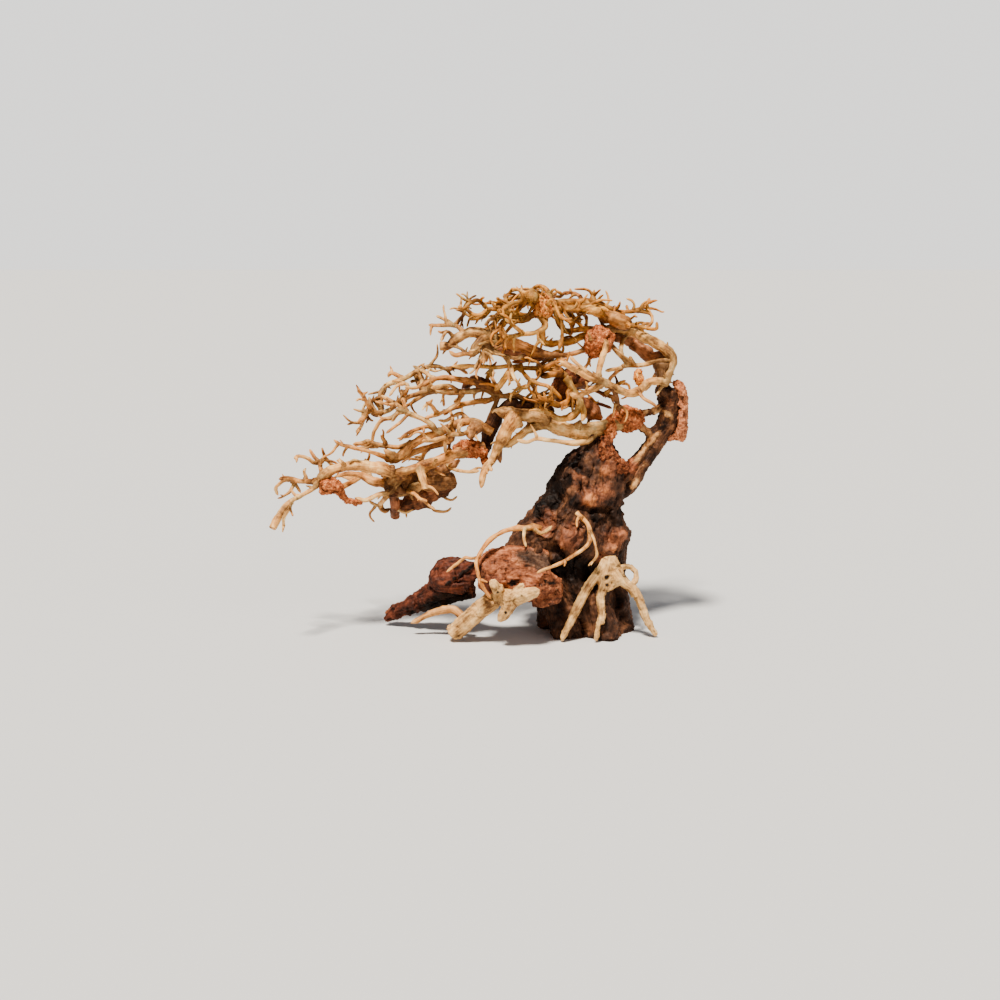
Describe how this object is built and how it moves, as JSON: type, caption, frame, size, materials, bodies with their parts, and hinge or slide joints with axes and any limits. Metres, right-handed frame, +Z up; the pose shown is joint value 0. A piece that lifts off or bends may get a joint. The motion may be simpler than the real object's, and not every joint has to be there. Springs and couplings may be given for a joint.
{
  "type": "aquarium root wood",
  "caption": "Windswept bonsai-shaped driftwood for an aquarium: pale branchy roots glued in tiers onto a dark leaning stump with a sawn foot.",
  "frame": {"origin": "on the stump's sawn foot, under the stump's axis", "axes": "+X to the right of the picture, along the wood's longest extent, +Y away from the viewer, +Z up"},
  "size_m": [0.2689, 0.1037, 0.2269],
  "materials": {
    "pale_wood": "dry, faintly silky root wood",
    "tan_wood": "dry orange-tan root wood",
    "brown_wood": "weathered brown wood, ridged along the grain",
    "dark_wood": "deeply ridged, nearly black stump wood with red-brown flanks",
    "red_wood": "rough red-brown broken wood",
    "bark": "crumbly pinkish-orange bark",
    "glue": "glue thick with red-brown sawdust"
  },
  "bodies": {
    "root": {"trunk": "dark_wood", "elbow_limb": "brown_wood", "bark_plate": "bark", "base_slab": "red_wood", "left_block": "red_wood", "left_log": "red_wood", "front_root": "pale_wood", "side_root": "pale_wood", "right_foot": "pale_wood", "curl_root_left": "pale_wood", "curl_root_front": "pale_wood", "cross_limb": "pale_wood", "top_bough": "pale_wood", "upper_bough": "pale_wood", "low_bough": "pale_wood", "ledge_bough": "pale_wood", "middle_bough": "pale_wood", "centre_bough": "tan_wood", "crown_right": "tan_wood", "crown_left": "tan_wood", "core_branch": "brown_wood", "heart_stub": "red_wood", "glue_shoulder": "glue", "glue_neck": "glue", "glue_elbow": "glue", "glue_top": "glue", "glue_crown": "glue", "glue_low": "glue", "glue_tip": "glue"}
  },
  "joints": []
}
